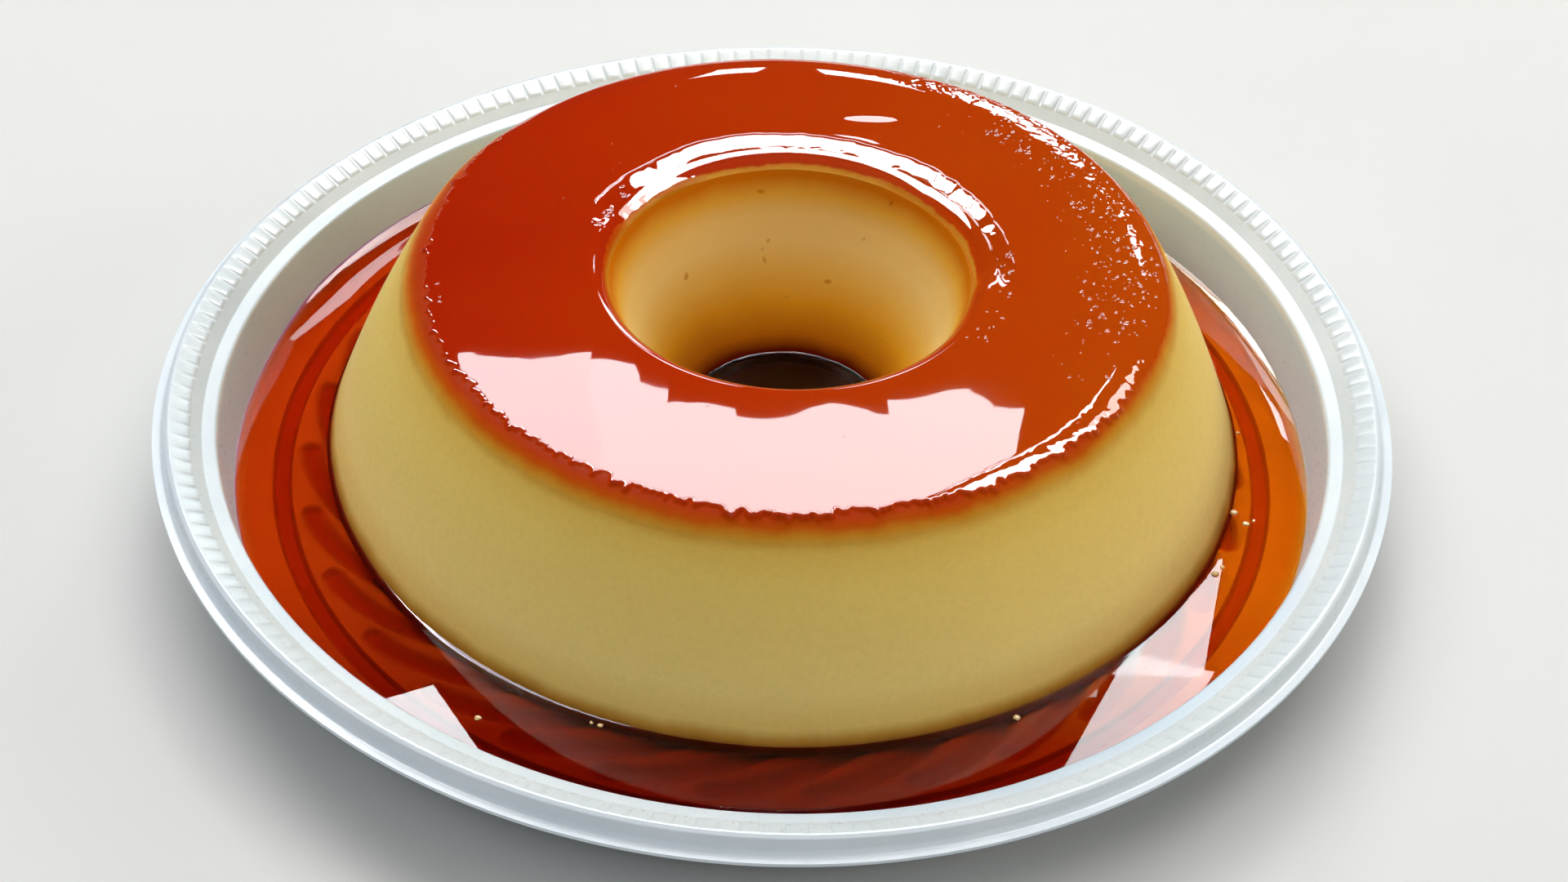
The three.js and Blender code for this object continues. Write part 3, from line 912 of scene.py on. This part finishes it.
world = bpy.data.worlds.new("room")
bpy.context.scene.world = world
world.use_nodes = True
nodes, links = world.node_tree.nodes, world.node_tree.links
backwards = scaled_in(nodes, links, axes_in(nodes, links, "Generated")["Y"], 0.5, 0.5)
room = ramp_in(
    nodes, links, backwards, (0.0, (0.14, 0.147, 0.16, 1)), (0.5, (0.15, 0.157, 0.17, 1)),
    (0.66, grey(0.04)), (1.0, grey(0.02)))
links.new(room, nodes["Background"].inputs["Color"])

WINDOW_DISTANCE = 2.0
WINDOW_BRIGHTNESS = 14


def pane(name, across, along, brightness, colour=(1, 1, 1)):
    """A bright rectangle, which the camera sees only as a reflection."""
    light = bpy.data.lights.new(name, "AREA")
    light.shape = "RECTANGLE"
    light.size = across
    light.size_y = along
    light.energy = brightness * across * along * math.pi
    light.color = colour
    lamp = bpy.data.objects.new(name, light)
    lamp.visible_camera = False
    bpy.context.scene.collection.objects.link(lamp)
    return lamp


def upright_pane(name, turn, left, right, bottom, top, brightness, colour=(0.87, 0.98, 1), roll=0.0):
    """An upright pane two metres off, its edges in metres across and up as seen from the flan."""
    lamp = pane(name, right - left, top - bottom, brightness, colour)
    middle = Matrix.Translation(((left + right) / 2, WINDOW_DISTANCE, (bottom + top) / 2))
    lamp.matrix_world = (
        Matrix.Rotation(math.radians(-turn), 4, "Z") @ middle
        @ Matrix.Rotation(math.radians(roll), 4, "Y") @ Matrix.Rotation(math.radians(-90), 4, "X"))
    return lamp


# The window behind: panes side by side over an uneven sill, and leaning side panes.
SILLS = (
    (-0.344, -0.2, 1.73), (-0.2, -0.155, 1.745), (-0.155, -0.12, 1.765), (-0.12, -0.04, 1.787),
    (-0.04, 0.13, 1.797), (0.13, 0.273, 1.768))
for number, (left, right, sill) in enumerate(SILLS):
    brightness = WINDOW_BRIGHTNESS * (0.94 if number == 0 else 1)
    upright_pane(f"window_{number}", 0, left, right, sill, 2.13, brightness)
upright_pane("window_head", 0, 0.273, 0.4, 1.98, 2.15, WINDOW_BRIGHTNESS)
leaves = [
    upright_pane("left_leaf", 0, -0.435, -0.36, 2.17, 2.36, 3 * WINDOW_BRIGHTNESS, roll=24),
    upright_pane("right_leaf", 0, 0.395, 0.524, 1.77, 2.11, 2.0 * WINDOW_BRIGHTNESS),
    upright_pane("right_leaf_top", 0, 0.39, 0.5, 2.08, 2.36, 2.0 * WINDOW_BRIGHTNESS, roll=-16)]
upright_pane("low_left", 0, -0.12, -0.035, 0.73, 1.2, WINDOW_BRIGHTNESS)
upright_pane("low_right", 0, 0.05, 0.17, 0.73, 1.2, WINDOW_BRIGHTNESS)
upright_pane("low_far_right", 0, 0.28, 0.6, 0.33, 0.95, WINDOW_BRIGHTNESS)
upright_pane("low_side_right", 0, 0.76, 0.92, 1.05, 1.35, WINDOW_BRIGHTNESS)
right_window = upright_pane(
    "right_window", 50, -0.43, 0.43, 1.5, 3.0, WINDOW_BRIGHTNESS, (1, 0.94, 0.86))

# Soft light from the left, the right and above, which makes no reflection.
left_light = upright_pane("left_light", -42, -0.7, 0.7, 0.35, 2.4, 0.5, (0.9, 0.96, 0.94))
front_light = upright_pane("front_light", -150, -1.2, 1.2, 0.1, 0.9, 0.5, (0.9, 0.97, 1))
right_light = upright_pane("right_light", 90, -0.9, 0.9, 0.12, 1.1, 3.3, (1, 0.93, 0.8))

ROOF_HEIGHT = 2.0


def roof_pane(name, centre, across, along, brightness):
    """A level bright pane over the table."""
    lamp = pane(name, across, along, brightness)
    lamp.location = (*centre, ROOF_HEIGHT)
    return lamp


roof_near, roof_far = (ROOF_HEIGHT / math.tan(math.radians(rise)) for rise in (75, 57))
roof_middle, roof_depth = (0.1, (roof_near + roof_far) / 2), roof_far - roof_near
roof_window = roof_pane("roof_window", roof_middle, 2.6, roof_depth, 28)
roof_shine = roof_pane("roof_shine", roof_middle, 2.6, roof_depth, 16)
left_roof = roof_pane("left_roof", (-0.8, 1.52), 0.7, 0.36, 60)
ceiling = roof_pane("ceiling", (-0.6, 1.45), 2.4, 1.2, 6.2)
front_ceiling = roof_pane("front_ceiling", (0, -0.5), 1.6, 1, 1.2)
side_ceiling = roof_pane("side_ceiling", (1.2, 0.3), 1, 1, 2.0)
left_ceiling = roof_pane("left_ceiling", (-0.9, -1.2), 1.4, 1.4, 2.7)
left_ceiling.data.color = (0.92, 0.98, 1)
for lamp in (*leaves, right_window, roof_window, roof_shine, left_roof):
    lamp.visible_diffuse = False
for lamp in (roof_shine, left_roof):
    lamp.visible_transmission = False
for lamp in (left_light, front_light, right_light, ceiling, front_ceiling, side_ceiling, left_ceiling):
    lamp.visible_glossy = False

CAMERA_PLACE = Vector((0, -476.62, 423.58)) * MM
CAMERA_AIM = Vector((2.318, -6.316, 12.3)) * MM
CAMERA_ROLL = math.radians(1.9238)
camera_data = bpy.data.cameras.new("camera")
camera_data.sensor_width = 36
camera_data.lens = 67.52
camera_data.clip_start = 0.01
camera = bpy.data.objects.new("camera", camera_data)
bpy.context.scene.collection.objects.link(camera)
camera.location = CAMERA_PLACE
camera.rotation_mode = "QUATERNION"
look = (CAMERA_AIM - CAMERA_PLACE).to_track_quat("-Z", "Y")
camera.rotation_quaternion = look @ Quaternion((0, 0, 1), CAMERA_ROLL)
bpy.context.scene.camera = camera
bpy.context.scene.view_settings.view_transform = "Standard"
